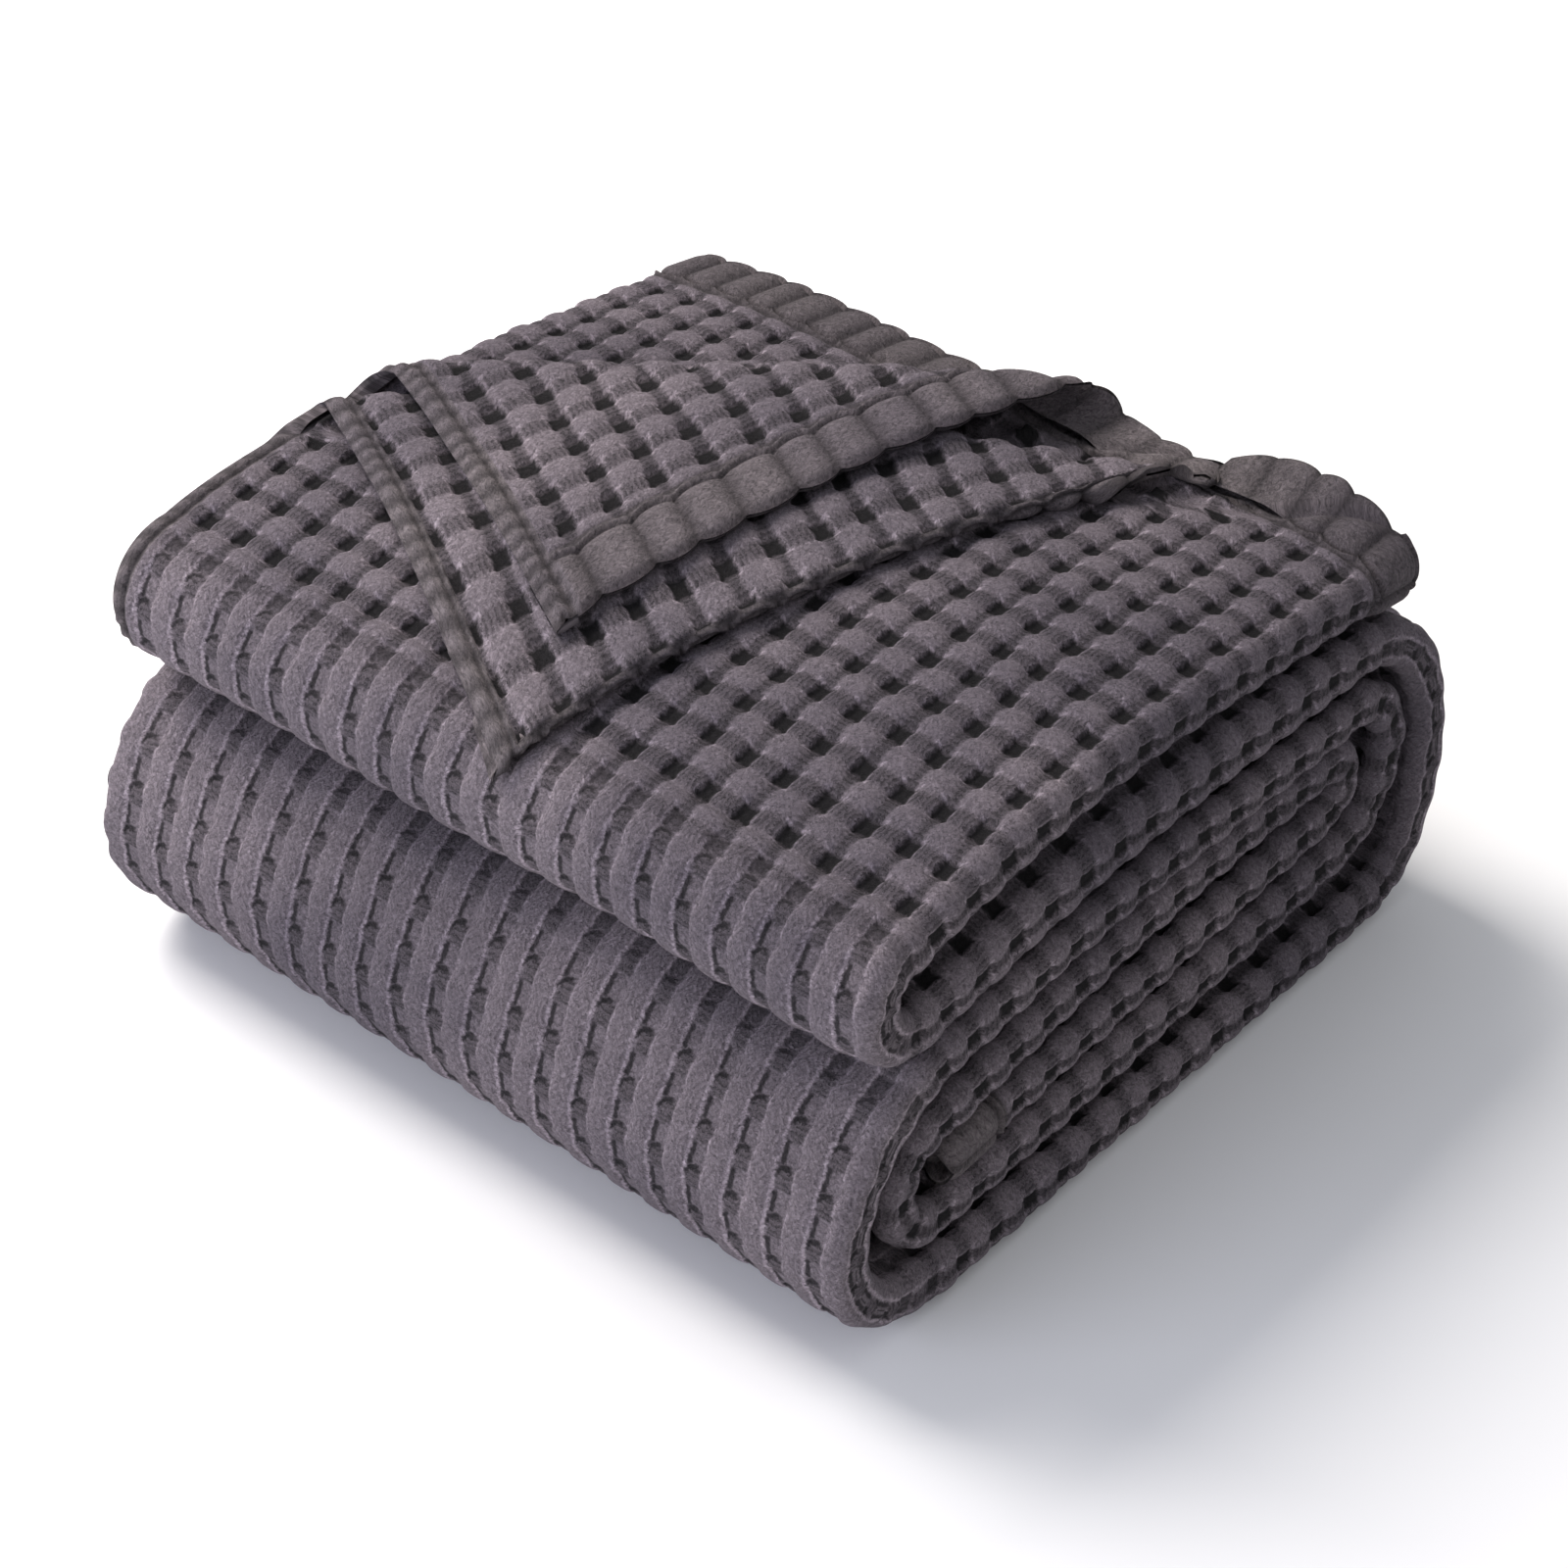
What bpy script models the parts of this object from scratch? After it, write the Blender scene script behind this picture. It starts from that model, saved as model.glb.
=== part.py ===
"""Waffle weave cotton blanket, folded for a shelf.

One rectangular sheet of cloth.  Its width is folded in half twice, which gives
a strip of four leaves with two free side edges at the left and a folded edge
at the right.  The strip is then turned back and forth in seven passes, from
its inner end in the middle of the stack to its outer end on top.  The two
free leaves of the top pass have their back left corners turned over towards
the front, the second one over the first.

Frame: X runs across the strip (folded edge at +X), Y runs along the passes
(round front folds at -Y), Z is up, and the origin is on the surface that the
stack lies on, under its middle.  Sizes are in metres.
"""
import math

import bmesh
import bpy
from mathutils import Vector

# ---- the cloth -------------------------------------------------------------
SHEET = 0.0036             # thickness of the waffle cloth
LEAF_PITCH = 0.0050        # from one leaf of the strip to the next, at fullness 1
LEFT_EDGE = -0.172         # x of the two free side edges
RIGHT_AXIS = 0.182         # x of the axis of the right-hand folds, pass edge 0
HEM_WIDTH = 0.034          # wide hem across each end of the cloth
FLAT_FULLNESS = 1.25       # fullness of the pass that lies on the surface
FLAT_PASS = 1.5 * LEAF_PITCH * FLAT_FULLNESS + SHEET / 2  # height of its middle

# ---- the seven passes, inner end first -------------------------------------
# y and z of the strip's middle at the pass's start, middle and end; fullness:
# how loosely its leaves lie there; edge: how far its folded edge stands out.
PASSES = (
    dict(start=(-0.128, 0.0560), middle=(-0.030, 0.0625), end=(0.094, 0.0690),
         fullness=(0.95, 1.05, 1.00), edge=-0.004),
    dict(start=(0.096, 0.0960), middle=(0.000, 0.0970), end=(-0.126, 0.0810),
         fullness=(1.00, 1.15, 1.00), edge=-0.002),
    dict(start=(-0.126, 0.0330), middle=(-0.010, 0.0370), end=(0.104, 0.0440),
         fullness=(1.00, 1.20, 1.10), edge=-0.004),
    dict(start=(0.104, 0.1160), middle=(-0.010, 0.1192), end=(-0.122, 0.1135),
         fullness=(1.00, 1.00, 1.08), edge=0.000),
    dict(start=(-0.124, FLAT_PASS), middle=(0.000, FLAT_PASS), end=(0.126, FLAT_PASS),
         fullness=(FLAT_FULLNESS, FLAT_FULLNESS, FLAT_FULLNESS), edge=0.001),
    dict(start=(0.112, 0.1400), middle=(-0.020, 0.1465), end=(-0.144, 0.1345),
         fullness=(1.35, 1.95, 1.45), edge=-0.001),
    dict(start=(-0.144, 0.1690), middle=(-0.020, 0.1800), end=(0.150, 0.1600),
         fullness=(1.35, 1.30, 1.15), edge=-0.003),
)
# The fold after each pass but the last: how far its curve is drawn out level
# from the pass that it leaves, and from the pass that it joins.
FOLDS = (
    dict(leave=0.021, join=0.021, spans=8),
    dict(leave=0.032, join=0.032, spans=8),
    dict(leave=0.046, join=0.046, spans=8),
    dict(leave=0.058, join=0.092, spans=10),
    dict(leave=0.058, join=0.060, spans=10),
    dict(leave=0.026, join=0.026, spans=8),
)
STACK_SHIFT = (-0.0069, 0.0079, 0.0)   # puts the middle of the stack at x = y = 0
PASS_SPANS = 5
TOP_PASS_SPANS = 8

# ---- the corners turned over on the top pass -------------------------------
# left, right: ends of the fold in plan; until: x where it stops; from_corner
# and corner: where the turned corner comes from and where it lies; roll: radius
# of the fold.
FLAPS = {
    "first": dict(leaf=0, left=(-0.176, -0.073), right=(0.104, 0.1162), until=0.1035,
                  from_corner=(-0.172, 0.150), corner=(0.020, -0.172), roll=0.0050),
    "second": dict(leaf=3, left=(-0.176, -0.063), right=(0.028, 0.118), until=0.182,
                   from_corner=(-0.172, 0.150), corner=(0.004, -0.122), roll=0.0112),
}
ROLL_SPANS = 6
FLAP_CUTS = 10
SHOULDER = 0.038           # radius of the top pass's front edge, outside
LEFT_SPARE = 0.034         # how much further the top leaf's end lies at the left
# The top leaf's end hem, from left to right: turned flat over beneath its
# turned corner, drawn in to nothing where it twists, and lifted at the right.
HEM_TURNS = (
    dict(x=0.015, width=0.030, angle=180.0, roll=0.0025),
    dict(x=0.056, width=0.009, angle=180.0, roll=0.0025),
    dict(x=0.078, width=0.000, angle=10.0, roll=0.0100),
    dict(x=0.104, width=0.000, angle=30.0, roll=0.0200),
    dict(x=0.120, width=0.028, angle=36.0, roll=0.0200),
    dict(x=0.150, width=0.034, angle=30.0, roll=0.0200),
    dict(x=0.182, width=0.034, angle=6.0, roll=0.0200),
)
HEM_CUTS = (0.0, 0.14, 0.30, 0.60)   # shares of its width, close where it bends
CROSS_CUTS = 7
# ---- the upper folds sag at the left, and the ends of both edges are drawn in ----
SAG = 0.008                # how much lower the top lies along its left edge
CORNER_IN = (0.012, -0.003)     # how far in x and y the back left corner is drawn in
EDGE_IN = 0.010            # how far the end of the folded edge at the right is
MEET = 1e-5                # points nearer than this are one point


def between(a, b, t):
    return a + (b - a) * t


def through_three(a, b, c, t):
    """The value at t of the parabola through a, b and c at 0, 0.5 and 1."""
    return a * (1 - t) * (1 - 2 * t) + b * 4 * t * (1 - t) + c * t * (2 * t - 1)


def strip_path():
    """Stations along the middle of the strip: y, z, fullness, edge, pass."""
    stations = []
    for number, row in enumerate(PASSES):
        last = number == len(PASSES) - 1
        spans = TOP_PASS_SPANS if last else PASS_SPANS
        for k in range(spans + 1):
            t = k / spans
            stations.append(dict(
                y=through_three(row["start"][0], row["middle"][0], row["end"][0], t),
                z=through_three(row["start"][1], row["middle"][1], row["end"][1], t),
                fullness=through_three(*row["fullness"], t),
                edge=row["edge"], number=number))
        if last:
            continue
        fold, onward = FOLDS[number], PASSES[number + 1]
        heading = math.copysign(1.0, row["end"][0] - row["start"][0])
        handles = (row["end"],
                   (row["end"][0] + heading * fold["leave"], row["end"][1]),
                   (onward["start"][0] + heading * fold["join"], onward["start"][1]),
                   onward["start"])
        for k in range(1, fold["spans"]):
            t = k / fold["spans"]
            weights = ((1 - t) ** 3, 3 * t * (1 - t) ** 2, 3 * t * t * (1 - t), t ** 3)
            stations.append(dict(
                y=sum(w * h[0] for w, h in zip(weights, handles)),
                z=sum(w * h[1] for w, h in zip(weights, handles)),
                fullness=between(row["fullness"][2], onward["fullness"][0], t),
                edge=between(row["edge"], onward["edge"], t), number=number + 0.5))
    for here, station in enumerate(stations):
        before = stations[max(here - 1, 0)]
        after = stations[min(here + 1, len(stations) - 1)]
        run = Vector((after["y"] - before["y"], after["z"] - before["z"])).normalized()
        station["normal"] = (-run.y, run.x)
    return stations


def strip_profile():
    """Points across the strip: side (-1 left edge, +1 right fold), the x offset
    from that side and the height from the strip's middle, both in leaf pitches,
    and the leaf that the span up to the point belongs to."""
    points = [dict(side=-1, out=0.0, height=1.5, leaf=0)]

    def arc(side, centre, radius, first, last, spans):
        for k in range(spans + 1):
            angle = math.radians(between(first, last, k / spans))
            points.append(dict(side=side, out=radius * math.cos(angle),
                               height=centre + radius * math.sin(angle),
                               leaf=0 if k == 0 else -1))
    arc(1, 0.0, 1.5, 90, -90, 7)
    start = len(points)
    arc(-1, -1.0, 0.5, 270, 90, 5)
    points[start]["leaf"] = 1
    start = len(points)
    arc(1, 0.0, 0.5, -90, 90, 5)
    points[start]["leaf"] = 2
    points.append(dict(side=-1, out=0.0, height=0.5, leaf=3))
    return points


def place(point, station):
    """The place in space of a profile point at a station."""
    pitch = LEAF_PITCH * station["fullness"]
    if point["side"] < 0:
        x = LEFT_EDGE + point["out"] * pitch
    else:
        x = RIGHT_AXIS - 1.5 * (pitch - LEAF_PITCH) + station["edge"] + point["out"] * pitch
    height = point["height"] * pitch
    return Vector((x, station["y"] + station["normal"][0] * height,
                   station["z"] + station["normal"][1] * height))


def top_height(y, leaf_height):
    """Height at y of a leaf of the top pass, down over its round front edge."""
    row = PASSES[-1]
    front, back = row["start"][0], row["end"][0]
    t = 0.5
    for _ in range(12):
        here = through_three(front, row["middle"][0], back, t)
        t += (y - here) / (back - front)
    t = min(max(t, 0.0), 1.0)
    z = through_three(row["start"][1], row["middle"][1], row["end"][1], t)
    past = min(max(front - y, 0.0), 0.9 * SHOULDER)
    z -= SHOULDER - math.sqrt(SHOULDER ** 2 - past ** 2)
    return z + leaf_height * LEAF_PITCH * through_three(*row["fullness"], t)


def leaf_faces(bm, leaf_layer, leaf):
    return [face for face in bm.faces if face[leaf_layer] == leaf + 1]


def cut_leaf(bm, leaf_layer, leaf, point, normal):
    """Add edges to a leaf of the top pass where an upright plane crosses it."""
    faces = leaf_faces(bm, leaf_layer, leaf)
    edges = {edge for face in faces for edge in face.edges}
    verts = {vert for face in faces for vert in face.verts}
    bmesh.ops.bisect_plane(bm, geom=[*verts, *edges, *faces], dist=0.1 * MEET,
                           plane_co=(point[0], point[1], 0.0),
                           plane_no=(normal[0], normal[1], 0.0))


def hem_border(x):
    """y of the line along which the top leaf's end hem bends."""
    sideways = (RIGHT_AXIS - x) / (RIGHT_AXIS - LEFT_EDGE)
    return PASSES[-1]["end"][0] - HEM_WIDTH + LEFT_SPARE * sideways ** 2


def hem_turn(x):
    """Width of the top leaf's end hem at x, and the angle that it is turned by."""
    rows = HEM_TURNS
    for near, far in zip(rows, rows[1:]):
        if x <= far["x"] or far is rows[-1]:
            t = min(max((x - near["x"]) / (far["x"] - near["x"]), 0.0), 1.0)
            return (between(near["width"], far["width"], t),
                    math.radians(between(near["angle"], far["angle"], t)),
                    between(near["roll"], far["roll"], t))


def curl_hem(bm, leaf_layer, leaf=0):
    """Turn the top leaf's end hem up at the right and flat over at the left."""
    straight_border = PASSES[-1]["end"][0] - HEM_WIDTH
    for k in range(CROSS_CUTS):
        x = between(LEFT_EDGE, HEM_TURNS[0]["x"], k / CROSS_CUTS)
        cut_leaf(bm, leaf_layer, leaf, (x, 0.0), (1.0, 0.0))
    for near, far in zip(HEM_TURNS, HEM_TURNS[1:]):
        for k in range(3):
            x = between(near["x"], far["x"], k / 2)
            cut_leaf(bm, leaf_layer, leaf, (x, 0.0), (1.0, 0.0))
    for share in HEM_CUTS:
        cut_leaf(bm, leaf_layer, leaf, (0.0, straight_border + share * HEM_WIDTH), (0.0, 1.0))

    leaf_verts = {v for f in leaf_faces(bm, leaf_layer, leaf) for v in f.verts}
    for vert in leaf_verts:
        x, beyond = vert.co.x, vert.co.y - straight_border
        border = hem_border(x)
        if beyond <= MEET:
            y = vert.co.y
            y += (border - straight_border) * max(y / straight_border, 0.0) ** 2
            vert.co = (x, y, top_height(y, 1.5))
            continue
        width, turn, roll = hem_turn(x)
        beyond *= width / HEM_WIDTH
        angle = min(beyond / roll, turn)
        straight = beyond - angle * roll
        y = border + roll * math.sin(angle) + straight * math.cos(angle)
        up = roll * (1 - math.cos(angle)) + straight * math.sin(angle)
        vert.co = (x, y, top_height(y, 1.5) + up)
    bmesh.ops.remove_doubles(bm, verts=list(leaf_verts), dist=MEET)


def turn_corner(bm, leaf_layer, flap):
    """Fold the back left corner of one leaf of the top pass over to the front."""
    left, right = Vector(flap["left"]), Vector(flap["right"])
    along = (right - left).normalized()
    away = Vector((-along.y, along.x))
    roll, leaf_height = flap["roll"], 1.5 if flap["leaf"] == 0 else 0.5
    arc = math.pi * roll
    cloth_corner = Vector(flap["from_corner"])
    reach = (cloth_corner - left).dot(away)
    foot = left + along * (cloth_corner - left).dot(along)
    back = (Vector(flap["corner"]) - foot) / (reach - arc)

    lines = [arc * k / ROLL_SPANS for k in range(ROLL_SPANS + 1)]
    lines += [between(reach, arc, (k / FLAP_CUTS) ** 1.5) for k in range(1, FLAP_CUTS)]
    for line in lines:
        cut_leaf(bm, leaf_layer, flap["leaf"], left + away * line, away)
    verts = {v for f in leaf_faces(bm, leaf_layer, flap["leaf"]) for v in f.verts}
    for vert in verts:
        plan = Vector((vert.co.x, vert.co.y))
        beyond = (plan - left).dot(away)
        if beyond <= MEET or plan.x > flap["until"] + MEET:
            continue
        foot = plan - away * beyond
        above = vert.co.z - top_height(plan.y, leaf_height)
        if beyond < arc:
            angle = beyond / roll
            foot = foot + away * (roll - above) * math.sin(angle)
            height = roll - (roll - above) * math.cos(angle)
        else:
            foot = foot + back * (beyond - arc)
            height = 2 * roll - above
        vert.co = (foot.x, foot.y, top_height(foot.y, leaf_height) + height)


def ease(low, high, value):
    t = min(max((value - low) / (high - low), 0.0), 1.0)
    return t * t * (3 - 2 * t)


def settle(point):
    """Where the sag and the drawn-in corners bring a point of the stack."""
    x, y, z = point
    left = min(max(x / LEFT_EDGE, 0.0), 1.0)
    back = min(max(y / PASSES[-1]["end"][0], 0.0), 1.0)
    right = min(max((x - 0.11) / (RIGHT_AXIS - 0.11), 0.0), 1.0)
    upper = ease(0.115, 0.165, z)
    sag = SAG * left ** 2 * ease(0.11, 0.19, z) * ease(-0.15, -0.06, y)
    return Vector((x + CORNER_IN[0] * left ** 3 * back ** 1.5 * upper,
                   y + (CORNER_IN[1] * left ** 2 - EDGE_IN * right ** 2) * back ** 2 * upper,
                   z - sag))


def build_cloth():
    """The open sheet with all its folds."""
    stations, profile = strip_path(), strip_profile()
    bm = bmesh.new()
    leaf_layer = bm.faces.layers.int.new("top_leaf")
    rows = [[bm.verts.new(place(point, station)) for point in profile]
            for station in stations]
    for near, far, station in zip(rows, rows[1:], stations):
        for k in range(len(profile) - 1):
            face = bm.faces.new((near[k], near[k + 1], far[k + 1], far[k]))
            if station["number"] == len(PASSES) - 1:
                face[leaf_layer] = profile[k + 1]["leaf"] + 1
    curl_hem(bm, leaf_layer)
    for flap in FLAPS.values():
        turn_corner(bm, leaf_layer, flap)
    for vert in bm.verts:
        vert.co = settle(vert.co)
    bmesh.ops.translate(bm, verts=bm.verts, vec=STACK_SHIFT)
    mesh = bpy.data.meshes.new("blanket_cloth")
    bm.to_mesh(mesh)
    bm.free()
    mesh.shade_smooth()
    return mesh


def cotton():
    """Charcoal grey washed cotton."""
    material = bpy.data.materials.new("charcoal_cotton")
    material.use_nodes = True
    shader = material.node_tree.nodes["Principled BSDF"]
    shader.inputs["Base Color"].default_value = (0.095, 0.088, 0.098, 1.0)
    shader.inputs["Roughness"].default_value = 0.95
    shader.inputs["Metallic"].default_value = 0.0
    return material


def main():
    for item in list(bpy.data.objects):
        bpy.data.objects.remove(item, do_unlink=True)
    parts = bpy.data.collections.new("waffle_blanket")
    bpy.context.scene.collection.children.link(parts)
    mesh = build_cloth()
    mesh.materials.append(cotton())
    blanket = bpy.data.objects.new("blanket", mesh)
    parts.objects.link(blanket)
    solid = blanket.modifiers.new("cloth_thickness", "SOLIDIFY")
    solid.thickness = SHEET
    solid.offset = 0.0
    solid.use_even_offset = False


main()
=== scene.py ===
"""Folded waffle weave cotton blanket: its cloth, hems, cotton, light and camera.

The cloth is one rectangle.  Its width is folded in half twice, the strip of four
leaves is turned back and forth in seven passes, and the back left corners of the
two free leaves on top are turned over.  A point of the cloth is named by its place
across and along it, counted in cells of one waffle repeat.  The functions below
take that to its place in the folded stack, raise the weave there in the mesh, and
give the masks that the cotton's shaders read.
"""
import functools
import math

import bpy
import numpy as np
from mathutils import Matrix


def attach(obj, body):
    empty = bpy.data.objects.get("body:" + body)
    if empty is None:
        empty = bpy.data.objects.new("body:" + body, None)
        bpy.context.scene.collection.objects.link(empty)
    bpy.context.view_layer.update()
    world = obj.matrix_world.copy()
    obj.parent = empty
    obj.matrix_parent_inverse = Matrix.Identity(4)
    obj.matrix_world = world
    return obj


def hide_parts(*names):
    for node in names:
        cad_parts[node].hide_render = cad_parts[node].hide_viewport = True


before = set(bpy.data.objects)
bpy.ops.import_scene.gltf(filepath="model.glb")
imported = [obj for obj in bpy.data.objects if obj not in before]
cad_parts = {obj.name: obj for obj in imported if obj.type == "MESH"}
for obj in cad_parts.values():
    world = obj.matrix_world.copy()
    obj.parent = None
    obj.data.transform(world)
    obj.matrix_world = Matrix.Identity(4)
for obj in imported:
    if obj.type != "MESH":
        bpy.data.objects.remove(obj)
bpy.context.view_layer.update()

# ---- the folded stack, in metres: the sizes that its solid is built from ----
LEAF_PITCH = 0.0050  # from one leaf of the strip to the next, at fullness 1
SHEET = 0.0036  # thickness of the waffle cloth
LEFT_EDGE = -0.172  # x of the two free side edges
RIGHT_AXIS = 0.182  # x of the axis of the right-hand folds
FLAT_FULLNESS = 1.25  # fullness of the pass that lies on the floor
FLAT_PASS = 1.5 * LEAF_PITCH * FLAT_FULLNESS + SHEET / 2  # height of that pass's middle
STACK_SHIFT = np.array((-0.0069, 0.0079, 0.0))

# The passes from the inside out: y and z of the strip's middle at three places, the
# fullness of its leaves there, and how far right of their axis its folds lie.
PASSES = (
    dict(start=(-0.128, 0.0560), middle=(-0.030, 0.0625), end=(0.094, 0.0690),
         fullness=(0.95, 1.05, 1.00), edge=-0.004),
    dict(start=(0.096, 0.0960), middle=(0.000, 0.0970), end=(-0.126, 0.0810),
         fullness=(1.00, 1.15, 1.00), edge=-0.002),
    dict(start=(-0.126, 0.0330), middle=(-0.010, 0.0370), end=(0.104, 0.0440),
         fullness=(1.00, 1.20, 1.10), edge=-0.004),
    dict(start=(0.104, 0.1160), middle=(-0.010, 0.1192), end=(-0.122, 0.1135),
         fullness=(1.00, 1.00, 1.08), edge=0.000),
    dict(start=(-0.124, FLAT_PASS), middle=(0.000, FLAT_PASS), end=(0.126, FLAT_PASS),
         fullness=(FLAT_FULLNESS,) * 3, edge=0.001),
    dict(start=(0.112, 0.1400), middle=(-0.020, 0.1465), end=(-0.144, 0.1345),
         fullness=(1.35, 1.95, 1.45), edge=-0.001),
    dict(start=(-0.144, 0.1690), middle=(-0.020, 0.1800), end=(0.150, 0.1600),
         fullness=(1.35, 1.30, 1.15), edge=-0.003),
)
# The folds between them: how far a fold reaches out of one pass and back into the next,
# and how many leaf pitches outside the middle the leaf that shows there lies.
FOLDS = (
    dict(leave=0.021, join=0.021, skin=0.0),
    dict(leave=0.032, join=0.032, skin=0.0),
    dict(leave=0.046, join=0.046, skin=0.0),
    dict(leave=0.058, join=0.092, skin=1.5),
    dict(leave=0.058, join=0.060, skin=1.5),
    dict(leave=0.026, join=0.026, skin=1.5),
)
PATH_SAMPLES = 60  # of each pass and each fold
TOP_START, TOP_END = 12.0, 13.0  # progress along the path: pass k is 2k to 2k + 1

# ---- the corners turned over on the top pass: the solid's, rolled a little tighter ----
# left and right are the ends of the fold line, and nothing is turned past x = until.
# The free corner goes from from_corner to corner.  pinch is the share of the roll that
# is left at the fold's left end.  leaf_height is in leaf pitches over the middle.
FLAPS = {
    "first": dict(left=(-0.176, -0.073), right=(0.104, 0.1162), until=0.1035,
                  from_corner=(-0.172, 0.150), corner=(0.020, -0.172), roll=0.0042,
                  pinch=0.65, leaf_height=1.5),
    "second": dict(left=(-0.176, -0.063), right=(0.028, 0.118), until=0.182,
                   from_corner=(-0.172, 0.150), corner=(0.004, -0.122), roll=0.0096,
                   pinch=0.84, leaf_height=0.5),
}
PINCHED = (-0.01, 0.06)  # distances from its left end between which the pinch eases off
SIDE_CHANGE = (-0.020, -0.008)  # past the fold line, where the side that shows changes
SHOULDER = 0.038  # radius of the top pass's front edge, outside

# ---- the top leaf's end hem: the solid's, with the start of its lift moved a little ----
# At each x, the width of the hem that is out, the angle it turns by and the radius.
HEM_TURNS = (
    dict(x=0.015, width=0.030, angle=180.0, roll=0.0025),
    dict(x=0.056, width=0.009, angle=180.0, roll=0.0025),
    dict(x=0.078, width=0.003, angle=10.0, roll=0.0100),
    dict(x=0.099, width=0.003, angle=30.0, roll=0.0200),
    dict(x=0.106, width=0.021, angle=38.0, roll=0.0190),
    dict(x=0.122, width=0.030, angle=40.0, roll=0.0200),
    dict(x=0.150, width=0.034, angle=30.0, roll=0.0200),
    dict(x=0.182, width=0.034, angle=6.0, roll=0.0200),
)
LEFT_SPARE = 0.034  # how much further the top leaf's end lies at the left

# ---- the upper folds sag at the left, and their back corners are drawn in ----
SAG = 0.008  # how much lower the top lies along its left edge
SAG_UP, SAG_BACK = (0.11, 0.19), (-0.15, -0.06)  # z and y between which it sets in
UPPER = (0.115, 0.165)  # z between which the upper folds begin
CORNER_IN = (0.012, -0.003)  # how far in the back left corner is drawn
EDGE_IN = 0.010  # and the end of the folded edge at the right,
EDGE_IN_FROM = 0.11  # from this x on
BILLOW = 0.0016  # soft swells of the upper folds
BILLOW_UP = (0.05, 0.12)  # z between which they set in

# ---- the weave and the hems ----
REPEAT_ALONG = 0.0188  # one waffle repeat along the cloth
FULL_CELLS = 20  # whole repeats of a leaf with a free edge, hem and half repeat apart
PILLOW_TOP = 0.0015  # heights of the weave above and below the cloth's middle
RECESS_FLOOR = -0.0022
PILLOW_TONE = 0.96  # how light the parts of the flat weave are, partly painted shade that deepens the lower a part lies: the pillows,
CURL_TONE = 0.66  # the curly loops between them one way,
BRIDGE_TONE = 0.48  # the bridges the other way,
FLOOR_SHADE_TONE = 0.30  # and the bottom of a recess, dark with painted shade
RIM_HIGHLIGHT_TONE = 0.16  # painted highlight: the light strand along the edge of a pillow
RIB_TONE, KNOT_TONE, PANE_TONE = 0.88, 0.60, 0.80  # the same, with the same painted shade, where the weave is drawn
STRAY = (0.07, 0.06)  # how far its lines stray across and along, in repeats
LOOPS = 9.0  # loops of thread in one repeat
STAR_REACH = 0.41  # from the middle of a recess to its points, in repeats
END_HEM = 0.034  # wide hem across each end of the cloth
SIDE_HEM = 0.009  # narrow hem along each side
HEM_THICKNESS = 0.0026  # a hem is the cloth turned under, so it has an underside
UNDERSIDE = 0.85  # how much of a hem its underside covers
HEM_PUFF = 0.0030  # how far the ribs of the wide hem stand up
HEM_SCALLOP = 0.10  # how far its edge is drawn in between them, of its width
HEM_STRAND, HEM_SEAM = 0.0018, 0.0010  # height of the strand at its seam, and depth of that
SIDE_PUFF, SIDE_SEAM = 0.0011, 0.0009  # gathers and seam of the narrow hem
SEAM_SHADE = 0.55  # how much darker a seam is
AWAY_SHADE = 0.26  # and the end hem where it faces away from the light,
AWAY_FROM = (13, 18)  # which sets in between these columns

# ---- cells of the cloth: one cell is one repeat, in steps of 1/16 at its finest ----
FINE = 16
FOLDED_EDGE = FULL_CELLS + 3  # cell at the outer fold on the right
LEFT_FOLD = FOLDED_EDGE + FULL_CELLS + 1
INNER_FOLD = LEFT_FOLD + FULL_CELLS + 1
CELLS_ACROSS = INNER_FOLD + FULL_CELLS + 3
# The four leaves, across the cloth from free edge to free edge.  The folds that a leaf
# starts and finishes with have their centre and radius in leaf pitches, and turn
# through these degrees.
PANELS = (
    dict(name="top leaf", first=0, last=FOLDED_EDGE, heading=1, height=1.5, start=None,
         finish=dict(side="right", centre=0.0, radius=1.5, turn=(90, 0))),
    dict(name="bottom leaf", first=FOLDED_EDGE, last=LEFT_FOLD, heading=-1, height=-1.5,
         start=dict(side="right", centre=0.0, radius=1.5, turn=(0, -90)),
         finish=dict(side="left", centre=-1.0, radius=0.5, turn=(270, 180))),
    dict(name="third leaf", first=LEFT_FOLD, last=INNER_FOLD, heading=1, height=-0.5,
         start=dict(side="left", centre=-1.0, radius=0.5, turn=(180, 90)),
         finish=dict(side="right", centre=0.0, radius=0.5, turn=(-90, 0))),
    dict(name="second leaf", first=INNER_FOLD, last=CELLS_ACROSS, heading=-1, height=0.5,
         start=dict(side="right", centre=0.0, radius=0.5, turn=(0, 90)), finish=None),
)
# Stretches of the path where a leaf shows, and the steps of its cells there.
SHOWN = (
    dict(leaf="bottom leaf", since=6.72, until=8.12, steps=FINE),  # lower front
    dict(leaf="bottom leaf", since=8.12, until=8.90, steps=4),  # on the floor
    dict(leaf="bottom leaf", since=8.90, until=10.30, steps=8),  # back
    dict(leaf="top leaf", since=10.85, until=TOP_END, steps=FINE),  # upper front and top
)
CLEAR_OF_FLOOR = 0.0002  # the lowest that the cloth may come
HIDDEN_STEPS = 2  # steps of a cell that lies inside the stack
UNDER_FLAP = 0.022  # how far under a turned corner a cell is hidden
CORNER_EDGE = ((0.004, -0.150), (0.095, 0.100))  # just inside the right-hand edge of the first one
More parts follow.
